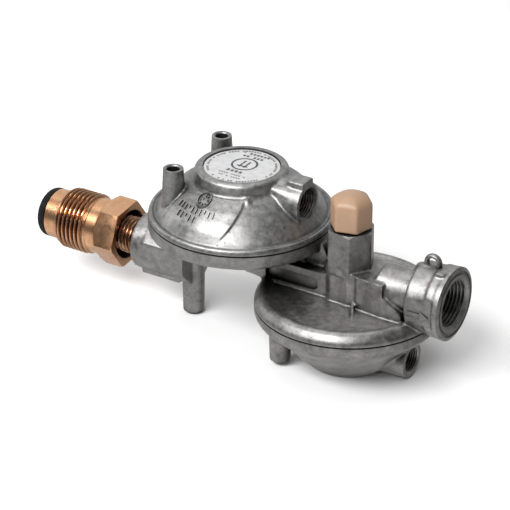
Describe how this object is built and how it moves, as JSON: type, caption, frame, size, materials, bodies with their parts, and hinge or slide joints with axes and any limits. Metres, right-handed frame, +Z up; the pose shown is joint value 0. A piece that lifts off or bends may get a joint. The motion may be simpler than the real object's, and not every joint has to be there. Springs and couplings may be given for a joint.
{
  "type": "propane regulator",
  "caption": "Die-cast horizontal propane regulator with high and low pressure stages, a brass POL inlet nut, a capped valve tower and a threaded outlet socket.",
  "frame": {"origin": "tip of the inlet nose, on the inlet axis", "axes": "+X along the gas flow from inlet to outlet, +Z up towards the first stage's cover, symmetry plane at y = 0"},
  "size_m": [0.1724, 0.0672, 0.0654],
  "materials": {
    "cast_metal": "as-cast, softly mottled",
    "brass": "machined, slightly reddish",
    "steel": "plated",
    "turned_aluminium": "turned",
    "rubber": "matt",
    "grey_plastic": "moulded",
    "tan_plastic": "moulded, fine satin",
    "label": "satin printed label"
  },
  "bodies": {
    "housing": {"regulator_body": "cast_metal", "first_stage_bonnet": "cast_metal", "second_stage_bonnet": "cast_metal", "pol_nipple": "brass", "pol_nose_seal": "rubber", "first_stage_orifice": "brass", "first_stage_lever_pin": "steel", "first_stage_diaphragm": "rubber", "first_stage_spring": "steel", "first_stage_spring_seat": "turned_aluminium", "first_stage_label_plate": "turned_aluminium", "first_stage_label": "label", "first_stage_vent_screen": "grey_plastic", "second_stage_orifice": "brass", "second_stage_diaphragm": "rubber", "second_stage_spring": "steel", "second_stage_vent_screen": "grey_plastic"},
    "inlet_nut": {"pol_nut": "brass"},
    "first_stem": {"first_stage_stem": "turned_aluminium", "first_stage_diaphragm_plate": "steel"},
    "first_lever": {"first_stage_lever": "steel"},
    "first_valve": {"first_stage_valve_holder": "brass", "first_stage_seat_disc": "rubber"},
    "second_stem": {"second_stage_stem": "turned_aluminium", "second_stage_valve_holder": "brass", "second_stage_seat_disc": "rubber", "second_stage_relief_retainer": "turned_aluminium", "second_stage_relief_spring": "steel"},
    "second_plate": {"second_stage_diaphragm_plate": "steel"},
    "spring_washer": {"second_stage_spring_washer": "steel"},
    "adjusting_screw": {"second_stage_adjusting_screw": "grey_plastic"},
    "cap_seal": {"second_stage_cap_o_ring": "rubber"},
    "closing_cap": {"second_stage_closing_cap": "grey_plastic"},
    "port_gasket": {"valve_port_gasket": "rubber"},
    "port_cap": {"valve_port_cap": "tan_plastic"}
  },
  "joints": [
    {"name": "inlet_nut_spin", "type": "hinge", "parent": "housing", "child": "inlet_nut", "pos_m": [0, 0, 0], "axis": [1, 0, 0], "continuous": true},
    {"name": "first_stem_slide", "type": "slide", "parent": "housing", "child": "first_stem", "axis": [0, 0, 1], "range_m": [-0.0012, 0.0012], "stiffness_N_per_m": 15000, "deforming": ["first_stage_spring", "first_stage_diaphragm"]},
    {"name": "first_lever_turn", "type": "hinge", "parent": "housing", "child": "first_lever", "pos_m": [0.0627, 0, -0.0065], "axis": [0, -1, 0], "range_deg": [-3.2, 3.2]},
    {"name": "first_valve_slide", "type": "slide", "parent": "housing", "child": "first_valve", "axis": [-1, 0, 0], "range_m": [-0.00036, 0.00036]},
    {"name": "second_stem_slide", "type": "slide", "parent": "housing", "child": "second_stem", "axis": [0, 0, 1], "range_m": [-0.0005, 0.0009], "stiffness_N_per_m": 2000, "deforming": ["second_stage_spring", "second_stage_diaphragm"]},
    {"name": "relief_slide", "type": "slide", "parent": "second_stem", "child": "second_plate", "axis": [0, 0, 1], "range_m": [-0.0012, 0], "stiffness_N_per_m": 4000, "deforming": ["second_stage_relief_spring", "second_stage_spring", "second_stage_diaphragm"]},
    {"name": "spring_washer_lift", "type": "slide", "parent": "housing", "child": "spring_washer", "axis": [0, 0, 1], "range_m": [0, 0.0022], "deforming": ["second_stage_spring"]},
    {"name": "adjusting_screw_turn", "type": "hinge", "parent": "spring_washer", "child": "adjusting_screw", "pos_m": [0.1301, 0, -0.0182], "axis": [0, 0, 1], "range_deg": [0, 529]},
    {"name": "closing_cap_out", "type": "slide", "parent": "housing", "child": "cap_seal", "axis": [0, 0, -1], "range_m": [0, 0.005]},
    {"name": "closing_cap_turn", "type": "hinge", "parent": "cap_seal", "child": "closing_cap", "pos_m": [0.1301, 0, -0.0212], "axis": [0, 0, -1], "range_deg": [0, 1201]},
    {"name": "port_cap_lift", "type": "slide", "parent": "housing", "child": "port_gasket", "axis": [0, 0, 1], "range_m": [0, 0.006]},
    {"name": "port_cap_turn", "type": "hinge", "parent": "port_gasket", "child": "port_cap", "pos_m": [0.1301, 0, 0.03], "axis": [0, 0, 1], "range_deg": [0, 1702]}
  ],
  "couplings": [
    {"joint": "first_lever_turn", "follows": "first_stem_slide", "rad_per_m": 43.86},
    {"joint": "first_valve_slide", "follows": "first_stem_slide", "ratio": 0.28509},
    {"joint": "adjusting_screw_turn", "follows": "spring_washer_lift", "rad_per_m": 4188.8},
    {"joint": "closing_cap_turn", "follows": "closing_cap_out", "rad_per_m": 4188.8},
    {"joint": "port_cap_turn", "follows": "port_cap_lift", "rad_per_m": 4947.4}
  ]
}
